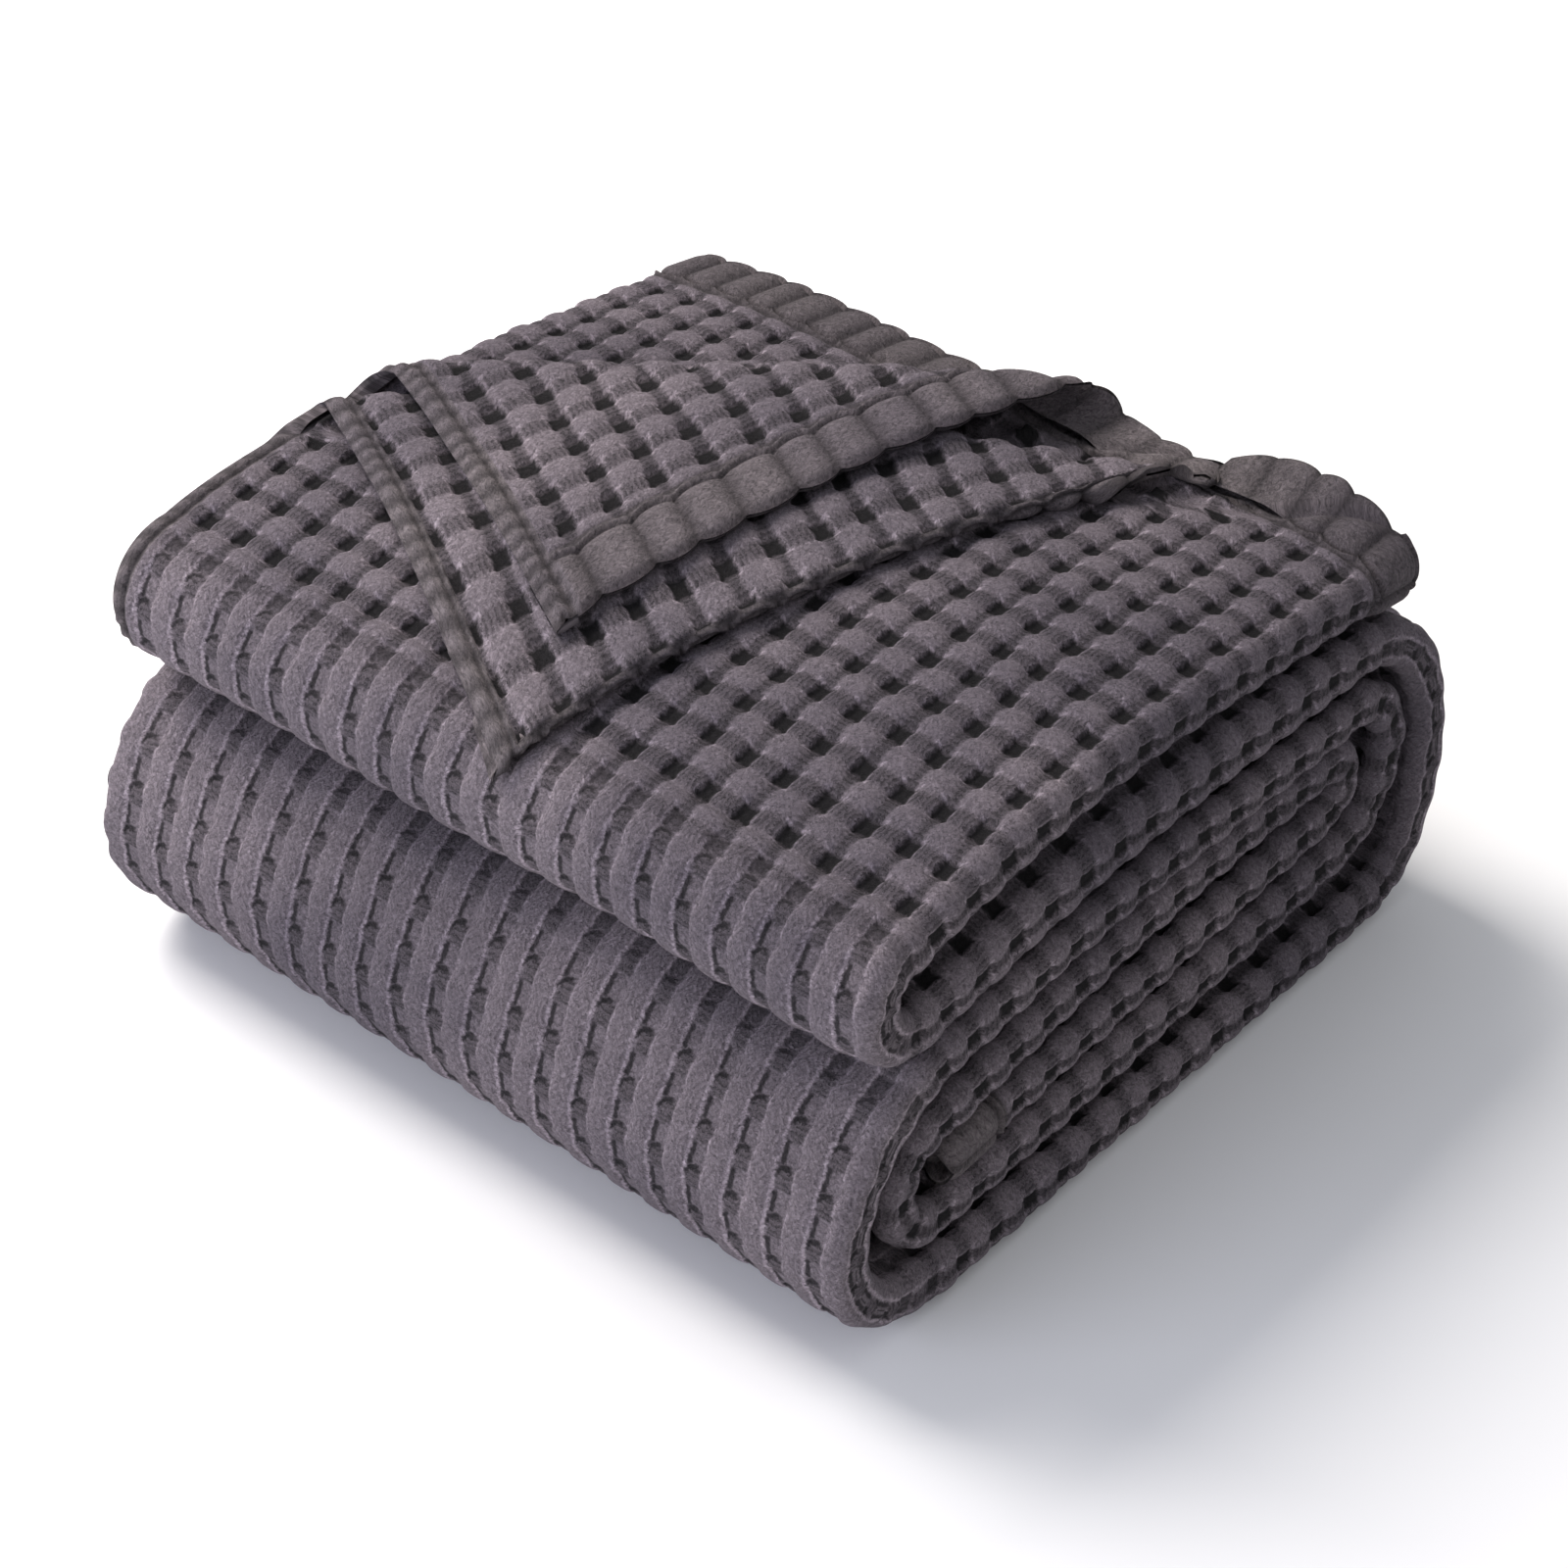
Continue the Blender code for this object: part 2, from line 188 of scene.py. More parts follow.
# The pieces: stretches of the cloth, by progress along the path and by leaves.
PIECES = (
    dict(name="inner_passes", since=0.0, until=3.5, leaves=PANELS),
    dict(name="middle_passes", since=3.5, until=6.0, leaves=PANELS),
    dict(name="lower_front", since=6.0, until=7.5, leaves=PANELS),
    dict(name="lower_front_foot", since=7.5, until=8.5, leaves=PANELS),
    dict(name="back_fold", since=8.5, until=10.4, leaves=PANELS),
    dict(name="upper_front", since=10.4, until=12.02, leaves=PANELS),
    dict(name="top_leaf", since=12.02, until=TOP_END, leaves=PANELS[:1]),
    dict(name="lower_leaves", since=12.02, until=TOP_END, leaves=PANELS[1:3]),
    dict(name="second_leaf", since=12.02, until=TOP_END, leaves=PANELS[3:]),
)

# ---- cotton, light and camera ----
COTTONS = (
    dict(name="waffle_cotton", light=(0.202, 0.172, 0.190, 1), dark=(0.114, 0.098, 0.116, 1),
         yarns=9.0, recesses=True),
    dict(name="hem_cotton", light=(0.172, 0.148, 0.152, 1), dark=(0.124, 0.106, 0.120, 1),
         yarns=7.0, recesses=False),
)
RECESS_SHADE, RIM_LIGHT = -0.80, 0.75  # painted shade in the recesses and painted highlight on their rims: what they do to the colour
LIGHTS = (
    dict(name="window", place=(-1.3, 0.0, 1.7), size=1.3, power=61.0, colour=(1.0, 0.95, 0.91)),
    dict(name="fill", place=(-0.5, -2.1, 0.8), size=1.6, power=31.0, colour=(0.82, 0.84, 1.0)),
    dict(name="side", place=(2.2, 0.3, 1.1), size=1.4, power=2.0, colour=(1.0, 0.97, 0.95)),
)
LIGHTS_AIM = np.array((0.0, 0.0, 0.10))
CAMERA = dict(azimuth=40.6, elevation=39.3, target=(0.0250, -0.0262, 0.0894), distance=1.574,
              lens=97.8, sensor=36.0)


def smooth(low, high, value):
    """0 up to low, 1 from high on, and an S-curve between."""
    t = np.clip((value - low) / (high - low), 0.0, 1.0)
    return t * t * (3 - 2 * t)


def through_three(a, b, c, t):
    """The value at t of the parabola through a, b and c at 0, 0.5 and 1."""
    return a * (1 - t) * (1 - 2 * t) + b * 4 * t * (1 - t) + c * t * (2 * t - 1)


def strip_path():
    """Close samples along the middle of the strip, as arrays by name."""
    rows = []
    for number, row in enumerate(PASSES):
        start, middle, end = row["start"], row["middle"], row["end"]
        last = number == len(PASSES) - 1
        t = np.linspace(0, 1, PATH_SAMPLES + last, endpoint=last)
        rows.append((through_three(start[0], middle[0], end[0], t),
                     through_three(start[1], middle[1], end[1], t),
                     through_three(*row["fullness"], t),
                     np.full_like(t, row["edge"]), 2 * number + t, np.zeros_like(t)))
        if last:
            break
        fold, onward = FOLDS[number], PASSES[number + 1]
        heading = math.copysign(1.0, end[0] - start[0])
        handles = (end, (end[0] + heading * fold["leave"], end[1]),
                   (onward["start"][0] + heading * fold["join"], onward["start"][1]),
                   onward["start"])
        weights = ((1 - t) ** 3, 3 * t * (1 - t) ** 2, 3 * t * t * (1 - t), t ** 3)
        rows.append((sum(w * h[0] for w, h in zip(weights, handles)),
                     sum(w * h[1] for w, h in zip(weights, handles)),
                     row["fullness"][2] * (1 - t) + onward["fullness"][0] * t,
                     row["edge"] * (1 - t) + onward["edge"] * t,
                     2 * number + 1 + t, np.full_like(t, fold["skin"])))
    y, z, fullness, edge, progress, skin = (np.concatenate(column) for column in zip(*rows))
    step = np.hypot(np.diff(y), np.diff(z))
    length = np.concatenate(([0.0], np.cumsum(step)))
    run_y, run_z = np.gradient(y, length), np.gradient(z, length)
    size = np.hypot(run_y, run_z)
    turn = np.abs(np.diff(np.unwrap(np.arctan2(run_z, run_y))))
    # the leaf that shows goes a longer way round the outside of a fold
    shown = step + turn * skin[:-1] * LEAF_PITCH * fullness[:-1]
    return dict(y=y, z=z, fullness=fullness, edge=edge, progress=progress,
                normal_y=-run_z / size, normal_z=run_y / size,
                along=np.concatenate(([0.0], np.cumsum(shown))))


PATH = strip_path()
CLOTH_LENGTH = float(PATH["along"][-1])
REPEATS_ALONG = round((CLOTH_LENGTH - 2 * END_HEM) / REPEAT_ALONG)
FIRST_REPEAT = 3  # rows 0 to 2: the inner end hem's underside and face
LAST_REPEAT = FIRST_REPEAT + REPEATS_ALONG
CELLS_ALONG = LAST_REPEAT + 3
LEAF_LENGTH = RIGHT_AXIS - LEFT_EDGE + 0.75 * math.pi * LEAF_PITCH  # half its fold with it


def along_places():
    """Distance along the cloth at each border between rows of cells."""
    inner, outer = END_HEM, CLOTH_LENGTH - END_HEM
    places = [END_HEM * UNDERSIDE, 0.0, END_HEM / 2]
    places += list(np.linspace(inner, outer, REPEATS_ALONG + 1))
    places += [CLOTH_LENGTH - END_HEM / 2, CLOTH_LENGTH, CLOTH_LENGTH - END_HEM * UNDERSIDE]
    return np.array(places)


def across_shares():
    """Share of its leaf's length at each border between columns of cells."""
    repeat = (LEAF_LENGTH - SIDE_HEM) / (FULL_CELLS + 0.5)
    free = [SIDE_HEM * UNDERSIDE, 0.0, SIDE_HEM]
    free += [SIDE_HEM + repeat * (0.5 + k) for k in range(FULL_CELLS + 1)]
    return np.array(free) / LEAF_LENGTH


ALONG_PLACES = along_places()
FREE_SHARES = across_shares()


# ---- where the cloth lies ----
def top_height(y, leaf_height):
    """Height at y of a leaf of the top pass, down over its round front edge."""
    top = PATH["progress"] >= TOP_START
    front = PASSES[-1]["start"][0]
    z = np.interp(y, PATH["y"][top], PATH["z"][top])
    past = np.clip(front - y, 0.0, 0.9 * SHOULDER)
    z = z - (SHOULDER - np.sqrt(SHOULDER ** 2 - past ** 2))
    return z + leaf_height * LEAF_PITCH * np.interp(y, PATH["y"][top], PATH["fullness"][top])


def settle(x, y, z):
    """Where the stack's own weight and the hand that laid it left a point."""
    left = np.clip(x / LEFT_EDGE, 0.0, 1.0)
    right = np.clip((x - EDGE_IN_FROM) / (RIGHT_AXIS - EDGE_IN_FROM), 0.0, 1.0)
    back = np.clip(y / PASSES[-1]["end"][0], 0.0, 1.0)
    upper = smooth(*UPPER, z)
    sag = SAG * left ** 2 * smooth(*SAG_UP, z) * smooth(*SAG_BACK, y)
    swells = np.sin(31 * x + 9 * y + 1.0) * np.sin(24 * y - 13 * x)
    billow = BILLOW * swells * smooth(*BILLOW_UP, z)
    pulled_x = CORNER_IN[0] * left ** 3 * back ** 1.5
    pulled_y = (CORNER_IN[1] * left ** 2 - EDGE_IN * right ** 2) * back ** 2
    return x + pulled_x * upper, y + pulled_y * upper, z - sag + billow


def hem_lift(x, beyond):
    """Where the top leaf's end hem lies: distance past its border, and height."""
    xs = [row["x"] for row in HEM_TURNS]
    width, angle, roll = (np.interp(x, xs, [row[key] for row in HEM_TURNS])
                          for key in ("width", "angle", "roll"))
    beyond = beyond * width / END_HEM
    turned = np.minimum(beyond / roll, np.radians(angle))
    straight = beyond - turned * roll
    return (roll * np.sin(turned) + straight * np.cos(turned),
            roll * (1 - np.cos(turned)) + straight * np.sin(turned))


def curl_hem(x, y):
    """The top leaf, its end drawn back at the left and its hem turned."""
    straight_border = PASSES[-1]["end"][0] - END_HEM
    sideways = (RIGHT_AXIS - x) / (RIGHT_AXIS - LEFT_EDGE)
    border = straight_border + LEFT_SPARE * sideways ** 2
    forth, up = hem_lift(x, np.maximum(y - straight_border, 0.0))
    before = y + (border - straight_border) * np.clip(y / straight_border, 0.0, None) ** 2
    in_hem = y > straight_border
    place = np.where(in_hem, border + forth, before)
    return place, top_height(place, 1.5) + np.where(in_hem, up, 0.0)


def fold_frame(flap):
    """A fold line's left end, and the directions along it and away from it."""
    left, right = np.array(flap["left"]), np.array(flap["right"])
    run = (right - left) / np.linalg.norm(right - left)
    return left, run, np.array((-run[1], run[0]))


def past_fold(flap, x, y):
    """How far a place on the flat leaf lies past the fold line of its corner."""
    left, _, away = fold_frame(flap)
    beyond = (x - left[0]) * away[0] + (y - left[1]) * away[1]
    return np.where(x <= flap["until"], beyond, np.minimum(beyond, 0.0))


def turn_corner(flap, x, y, z):
    """Fold the back left corner of a leaf of the top pass over to the front."""
    left, run, away = fold_frame(flap)
    corner = np.array(flap["from_corner"])
    opposite = left + run * ((corner - left) @ run)
    reach = (corner - left) @ away - math.pi * flap["roll"]
    back = (np.array(flap["corner"]) - opposite) / reach
    beyond = past_fold(flap, x, y)
    above = z - top_height(y, flap["leaf_height"])
    foot_x, foot_y = x - away[0] * beyond, y - away[1] * beyond
    from_left = (foot_x - left[0]) * run[0] + (foot_y - left[1]) * run[1]
    roll = flap["roll"] * (flap["pinch"] + (1 - flap["pinch"]) * smooth(*PINCHED, from_left))
    angle = np.clip(beyond / roll, 0.0, math.pi)
    out = (roll - above) * np.sin(angle)
    rest = np.maximum(beyond - math.pi * roll, 0.0)
    new_x = foot_x + away[0] * out + back[0] * rest
    new_y = foot_y + away[1] * out + back[1] * rest
    new_z = top_height(new_y, flap["leaf_height"]) + roll - (roll - above) * np.cos(angle)
    turned = beyond > 0
    return np.where(turned, new_x, x), np.where(turned, new_y, y), np.where(turned, new_z, z)


def distance_along(across, along):
    """Distance along the cloth, its ends drawn in between the ribs of their hems."""
    distance = np.interp(along, np.arange(len(ALONG_PLACES)), ALONG_PLACES)
    drawn = 1 - HEM_SCALLOP * (1 - hem_puff(weave_phase(across, along)[0]))
    inner, outer = END_HEM, CLOTH_LENGTH - END_HEM
    distance = np.where(distance < inner, inner - (inner - distance) * drawn, distance)
    return np.where(distance > outer, outer + (distance - outer) * drawn, distance)


def share_of_leaf(panel, cell):
    """How far along its leaf a place across the cloth lies, 0 to 1."""
    columns = np.arange(len(FREE_SHARES))
    if panel["start"] is None:
        return np.interp(cell, columns, FREE_SHARES)
    if panel["finish"] is None:
        return 1 - np.interp(CELLS_ACROSS - cell, columns, FREE_SHARES)
    return (cell - panel["first"]) / (panel["last"] - panel["first"])


def leaf_place(panel, cell, pitch, axis):
    """Places across a leaf in the strip's section: x, height in leaf pitches over the
    middle, whether they are on the flat of it, and how far round its last fold."""
    folds = (panel["start"], panel["finish"])
    arcs = [0.0 if fold is None else pitch * fold["radius"] * math.pi / 2 for fold in folds]
    flat = axis - LEFT_EDGE
    gone = share_of_leaf(panel, cell) * (arcs[0] + flat + arcs[1])
    before, after = gone < arcs[0], gone > arcs[0] + flat
    run = np.clip(gone - arcs[0], 0.0, flat)
    x = LEFT_EDGE + run if panel["heading"] > 0 else axis - run
    height = np.full_like(pitch, panel["height"])
    into = [gone / np.maximum(arcs[0], 1e-9), (gone - arcs[0] - flat) / np.maximum(arcs[1], 1e-9)]
    for fold, inside, share in zip(folds, (before, after), into):
        if fold is None:
            continue
        first, last = fold["turn"]
        angle = np.radians(first + (last - first) * share)
        middle = axis if fold["side"] == "right" else LEFT_EDGE
        x = np.where(inside, middle + fold["radius"] * pitch * np.cos(angle), x)
        height = np.where(inside, fold["centre"] + fold["radius"] * np.sin(angle), height)
    return x, height, ~before & ~after, np.where(after, into[1], 0.0)


def cloth_point(across, along):
    """Place in space of points of the cloth, the side of it that shows there (0 its
    outer side, 1 the other, as on the turned corners), and progress along the path."""
    distance = distance_along(across, along)
    at = {key: np.interp(distance, PATH["along"], PATH[key])
          for key in ("y", "z", "fullness", "edge", "progress", "normal_y", "normal_z")}
    pitch = LEAF_PITCH * at["fullness"]
    axis = RIGHT_AXIS - 1.5 * (pitch - LEAF_PITCH) + at["edge"]
    x, height, flat, bend = (np.zeros_like(pitch) for _ in range(4))
    for panel in PANELS:
        mine = (across >= panel["first"]) & (across <= panel["last"])
        placed = leaf_place(panel, across[mine], pitch[mine], axis[mine])
        x[mine], height[mine], flat[mine], bend[mine] = placed
    y = at["y"] + at["normal_y"] * height * pitch
    z = at["z"] + at["normal_z"] * height * pitch

    shown = np.zeros_like(pitch)
    on_top = at["progress"] >= TOP_START
    first = on_top & (flat > 0) & (across <= FOLDED_EDGE)
    x1, y1, z1 = x[first], *curl_hem(x[first], y[first])
    shown[first] = smooth(*SIDE_CHANGE, past_fold(FLAPS["first"], x1, y1))
    x[first], y[first], z[first] = turn_corner(FLAPS["first"], x1, y1, z1)
    second = on_top & (flat > 0) & (across >= INNER_FOLD)
    x2, y2, z2 = x[second], y[second], top_height(y[second], FLAPS["second"]["leaf_height"])
    shown[second] = 1 - smooth(*SIDE_CHANGE, past_fold(FLAPS["second"], x2, y2))
    x[second], y[second], z[second] = turn_corner(FLAPS["second"], x2, y2, z2)
    # the lifted end hem eases out round the folded edge
    easing = on_top & (across < FOLDED_EDGE) & (bend > 0)
    past_border = np.maximum(y[easing] - PASSES[-1]["end"][0] + END_HEM, 0.0)
    z[easing] += hem_lift(x[easing], past_border)[1] * np.cos(bend[easing] * math.pi / 2) ** 2
    return np.stack(settle(x, y, z), axis=1) + STACK_SHIFT, shown, at["progress"]


# ---- the waffle ----
def block(u, v):
    """A puffed block of the weave: 1 in its middle, steep at its edge, where u or v is 1."""
    return np.clip(1 - np.abs(u) ** 2.6 - np.abs(v) ** 2.6, 0.0, 1.0) ** 0.45


def uneven(a, b):
    """Small differences, -1 to 1, that drift over the weave."""
    one_way = np.sin(1.7 * a + 2.3 * np.sin(0.61 * b))
    other_way = np.sin(2.9 * b - 1.1 * np.sin(1.3 * a + 2.0))
    return (one_way + other_way) / 2


def waffle(a, b):
    """The weave where it lies flat: its height, 0 in the bottom of a recess to 1 on a
    pillow, how light it is with painted shade low in it and a painted highlight on the
    pillows' rims, and how much of its face is curly loops.  a and b are
    whole numbers in the middle of a pillow."""
    size = 1 + 0.08 * uneven(a, b)
    crown = 1 + 0.09 * uneven(1.9 * np.round(b) + 4.0, 2.3 * np.round(a))
    a, b = np.abs(a - np.round(a)), np.abs(b - np.round(b))
    pillow = crown * block(a / (0.43 * size), b / 0.38)
    curls = 0.87 * block(a / 0.35, (0.5 - b) / (0.29 * size))
    bridge = 0.64 * block((0.5 - a) / 0.25, b / (0.28 * size))
    shares = np.stack((pillow ** 5, curls ** 5, bridge ** 5)) + 1e-9
    cloth = shares.sum(axis=0) ** 0.2
    height = np.maximum(cloth, 0.05)
    tones = (PILLOW_TONE, CURL_TONE, BRIDGE_TONE)
    tone = sum(share * value for share, value in zip(shares, tones)) / shares.sum(axis=0)
    # painted highlight: a light strand round the rim of each pillow
    tone = tone + RIM_HIGHLIGHT_TONE * np.exp(-((pillow - 0.45) / 0.15) ** 2)
    curly = (shares[1] + shares[2]) / shares.sum(axis=0)
    # painted shade: the floor of a recess is dark, and the weave darker the lower it lies
    light = np.where(cloth < 0.05, FLOOR_SHADE_TONE, tone * (0.55 + 0.45 * smooth(0.05, 0.50, height)))
    return height, light, curly


def drawn_waffle(a, b):
    """The same where the weave is drawn round a fold: straight ribs with scalloped edges,
    and knots of loops and shallow panes in turn between them."""
    across, along = np.abs(a - np.round(a)), np.abs(b - np.round(b))
    width = 0.315 + 0.055 * np.cos(2 * math.pi * b + 1.2 * uneven(a, b))
    rib = np.clip(1 - (across / width) ** 3.5, 0.0, 1.0) ** 0.45
    rib = rib * (0.94 + 0.06 * np.cos(2 * math.pi * b))
    knot = 0.72 * block((0.5 - across) / 0.25, along / 0.27)
    pane = np.full_like(rib, 0.44)
    height = np.maximum.reduce((rib, knot, pane))
    # painted highlight along the edge of each rib
    edge = RIM_HIGHLIGHT_TONE * np.exp(-((across - width + 0.06) / 0.045) ** 2)
    between = np.where(knot >= height, KNOT_TONE, PANE_TONE)
    light = np.where(rib >= height, RIB_TONE + edge, between)
    return height, light, np.where(knot >= height, 1.0, 0.12)


def tautness(progress):
    """1 round the front of both bundles and the back, 0 on the flat of a pass."""
    folds = [smooth(k + 0.02, k + 0.30, progress) * (1 - smooth(k + 0.75, k + 1.05, progress))
             for k in (7, 9, 11)]
    return np.maximum.reduce(folds)


def weave_phase(across, along):
    """Place in the weave: whole numbers in the middle of a pillow."""
    cells = np.arange(CELLS_ACROSS + 1)
    phase = cells.astype(float) - 2.5
    phase[:3] = (-1.0, -1.0, 0.0)
    phase[-3:] = (phase[-4] + 0.5, phase[-4] + 1.5, phase[-4] + 1.5)
    return np.interp(across, cells, phase), along - FIRST_REPEAT


def hem_puff(a):
    """1 in the middle of a puffed rib of a hem, 0 in the crease between two."""
    return np.abs(np.cos(math.pi * (a + 0.08 * np.sin(2.1 * a)))) ** 0.6


def end_hem_relief(a, into):
    """The wide hem, so many cells into it: its height, how light it is with painted shade in its
    creases, and its seam.
    """
    puff = hem_puff(a)
    arch = 0.10 + 0.24 * (1 - puff)  # the seam arches round each rib
    strand = np.exp(-((into - arch) / 0.05) ** 2)
    seam = np.exp(-((into - arch - 0.13) / 0.05) ** 2)
    swell = smooth(0.1, 0.6, into) * (1 - 0.5 * smooth(1.5, 2.0, into))
    height = 0.0002 + HEM_PUFF * puff * swell + HEM_STRAND * strand - HEM_SEAM * seam
    # painted shade in the creases between the ribs and where the hem meets the waffle, lighter on the
    # strand
    return height, 0.30 + 0.60 * puff * smooth(0.0, 0.3, into) + 0.35 * strand, seam


def side_hem_relief(b, into):
    """The same for the narrow hem along a side."""
    gather = 0.5 + 0.5 * np.sin(2 * math.pi * (2.0 * b + 0.35 * into) + 1.5 * np.sin(1.9 * b))
    seam = np.exp(-((into - 0.22) / 0.09) ** 2)
    height = 0.0004 + SIDE_PUFF * gather * smooth(0.1, 0.6, into) - SIDE_SEAM * seam
    # painted shade in the troughs between the gathers
    return height, 0.38 + 0.52 * gather, 0.9 * seam


def relief(across, along, side, progress):
    """Height of the cloth's face over its middle, its masks, and its place in the weave."""
    a, b = weave_phase(across, along)
    a_shown = a + 0.5 * side + STRAY[0] * uneven(0.8 * a + 1.0, 0.7 * b)
    b_shown = b + 0.5 * side + STRAY[1] * uneven(0.7 * b, 0.9 * a + 2.0)
    taut = tautness(progress)
    up, light, curly = (taut * drawn + (1 - taut) * flat for drawn, flat in
                        zip(drawn_waffle(a_shown, b_shown), waffle(a_shown, b_shown)))
    height = RECESS_FLOOR + (PILLOW_TOP - RECESS_FLOOR) * up

    end_hem = np.maximum(FIRST_REPEAT - along, along - LAST_REPEAT)  # 0 to 2 on its face
    side_hem = np.maximum(2 - across, across - (CELLS_ACROSS - 2))  # 0 to 1 on its face
    in_end, in_side = smooth(-0.06, 0.06, end_hem), smooth(-0.1, 0.1, side_hem)
    end_height, end_light, end_seam = end_hem_relief(a, end_hem)
    side_height, side_light, side_seam = side_hem_relief(b, side_hem)
    height = height * (1 - in_end) + end_height * in_end
    height = height * (1 - in_side) + side_height * in_side
    # painted shade in the hems' creases and seams, and where the end hem faces away from the light
    light = light * (1 - in_end) + end_light * in_end
    light = light * (1 - in_side) + side_light * in_side
    light = light * (1 - SEAM_SHADE * np.maximum(end_seam * in_end, side_seam * in_side))
    away = smooth(*AWAY_FROM, across) * (across < INNER_FOLD) * (along > LAST_REPEAT)
    light = light * (1 - AWAY_SHADE * in_end * away)

    # the rounded edge, and the underside of the hem
    edge_end, edge_side = end_hem - 2.0, side_hem - 1.0
    rounding = np.maximum(smooth(-0.30, 0.0, edge_end), smooth(-0.45, 0.0, edge_side))
    height = height * (1 - rounding) - HEM_THICKNESS / 2 * rounding
    under = np.maximum(smooth(0.0, 0.30, edge_end), smooth(0.0, 0.35, edge_side))
    height = np.where(under > 0, -HEM_THICKNESS / 2 * (1 + under), height)
    on_waffle = 1 - np.maximum(in_end, in_side)
    facing = np.where(across > FOLDED_EDGE, 1.0, -1.0) * (1 - 2 * side)  # way round of the painted-shadow slits
    # the light mask carries the painted shade and painted highlights
    masks = dict(light=light, curly=curly * on_waffle, drawn=taut * facing)
    return height * (1 - 2 * side), masks, np.stack((a_shown, b_shown), axis=1)


# ---- the mesh ----
def cell_steps():
    """Steps of each cell's mesh: fine where the cloth shows, coarse inside the stack."""
    grid = np.meshgrid(np.arange(CELLS_ACROSS) + 0.5, np.arange(CELLS_ALONG) + 0.5, indexing="ij")
    across, along = (places.ravel() for places in grid)
    points, side, progress = cloth_point(across, along)
    x, y = points[:, 0] - STACK_SHIFT[0], points[:, 1] - STACK_SHIFT[1]
    leaf = {panel["name"]: (across > panel["first"]) & (across < panel["last"]) for panel in PANELS}
    from_edge = np.abs(across - FOLDED_EDGE)
    side_hems = (across < 3) | (across > CELLS_ACROSS - 3)
    steps = np.full(len(across), HIDDEN_STEPS)

    def refine(where, level):
        steps[where] = np.maximum(steps[where], level)

    refine(from_edge < 2.5, 4)
    refine(from_edge < 1.5, FINE)
    refine(side_hems | (np.abs(across - LEFT_FOLD) < 1.6), 8)
    for row in SHOWN:
        refine(leaf[row["leaf"]] & (progress >= row["since"]) & (progress <= row["until"]), row["steps"])
    steps[hidden_by_corner(x, y, side, progress, across)] = HIDDEN_STEPS
    on_top, turned_back = progress > TOP_START, past_fold(FLAPS["second"], x, y) > -0.015
    refine(leaf["second leaf"] & on_top & (side < 0.5), FINE)
    refine(leaf["third leaf"] & on_top & (turned_back | (along > LAST_REPEAT - 3)), FINE)
    refine((leaf["bottom leaf"] | leaf["second leaf"]) & (along > LAST_REPEAT - 2), 8)
    refine((along < FIRST_REPEAT) & (from_edge < 8), 8)
    return steps.reshape(CELLS_ACROSS, CELLS_ALONG)


def inside_line(x, y, start, end):
    """How far a place lies to the left of the line from start to end."""
    run = np.array(end) - np.array(start)
    return ((x - start[0]) * -run[1] + (y - start[1]) * run[0]) / np.linalg.norm(run)


def hidden_by_corner(x, y, side, progress, cell):
    """Cells of the flat top leaf that lie well beneath its own turned corner."""
    flap = FLAPS["first"]
    return ((progress > TOP_START) & (cell < FOLDED_EDGE) & (side < 0.5)
            & (past_fold(flap, x, y) < -UNDER_FLAP)
            & (inside_line(x, y, flap["left"], flap["corner"]) > UNDER_FLAP)
            & (inside_line(x, y, *CORNER_EDGE) > UNDER_FLAP + 0.002))


def cloth_lattice(steps):
    """Vertices and faces of all the cells, with no gap where fine meets coarse."""
    used = np.zeros((CELLS_ACROSS * FINE + 1, CELLS_ALONG * FINE + 1), dtype=bool)
    for level in np.unique(steps):
        stride = FINE // level
        local = np.arange(0, FINE + 1, stride)
        for i, j in zip(*np.nonzero(steps == level)):
            used[np.ix_(i * FINE + local, j * FINE + local)] = True
    numbers = np.full(used.shape, -1, dtype=np.int64)
    numbers[used] = np.arange(used.sum())
    grid_u, grid_s = np.nonzero(used)

    quads, quad_cells, patches, patch_cells = [], [], [], []
    for level in np.unique(steps):
        stride = FINE // level
        local = np.arange(0, FINE, stride)
        lu, ls = (grid.ravel() for grid in np.meshgrid(local, local, indexing="ij"))
        for i, j in zip(*np.nonzero(steps == level)):
            u, s = i * FINE + lu, j * FINE + ls
            plain = np.ones(len(u), dtype=bool)
            for ni, nj, border in ((i - 1, j, lu == 0), (i + 1, j, lu == FINE - stride),
                                   (i, j - 1, ls == 0), (i, j + 1, ls == FINE - stride)):
                if 0 <= ni < CELLS_ACROSS and 0 <= nj < CELLS_ALONG and steps[ni, nj] > level:
                    plain &= ~border
            q = np.stack((numbers[u, s], numbers[u + stride, s],
                          numbers[u + stride, s + stride], numbers[u, s + stride]), axis=1)
            quads.append(q[plain])
            quad_cells.append(np.tile((i, j), (plain.sum(), 1)))
            # beside a finer cell, a face takes in that cell's points along the border
            for k in np.nonzero(~plain)[0]:
                a, b, e, f = u[k], s[k], u[k] + stride, s[k] + stride
                loop = [numbers[v, b] for v in range(a, e)] + [numbers[e, w] for w in range(b, f)]
                loop += [numbers[v, f] for v in range(e, a, -1)]
                loop += [numbers[a, w] for w in range(f, b, -1)]
                patches.append([n for n in loop if n >= 0])
                patch_cells.append((i, j))
    return (grid_u / FINE, grid_s / FINE, np.concatenate(quads), np.concatenate(quad_cells),
            patches, np.array(patch_cells).reshape(-1, 2))


def surface_normals(points, quads):
    """Normal at each vertex, from the quads around it."""
    span = np.cross(points[quads[:, 2]] - points[quads[:, 0]],
                    points[quads[:, 3]] - points[quads[:, 1]])
    total = np.zeros_like(points)
    for corner in range(4):
        for axis in range(3):
            total[:, axis] += np.bincount(quads[:, corner], span[:, axis], len(points))
    size = np.linalg.norm(total, axis=1, keepdims=True)
    return np.where(size > 1e-12, total / np.maximum(size, 1e-12), (0.0, 0.0, 1.0))


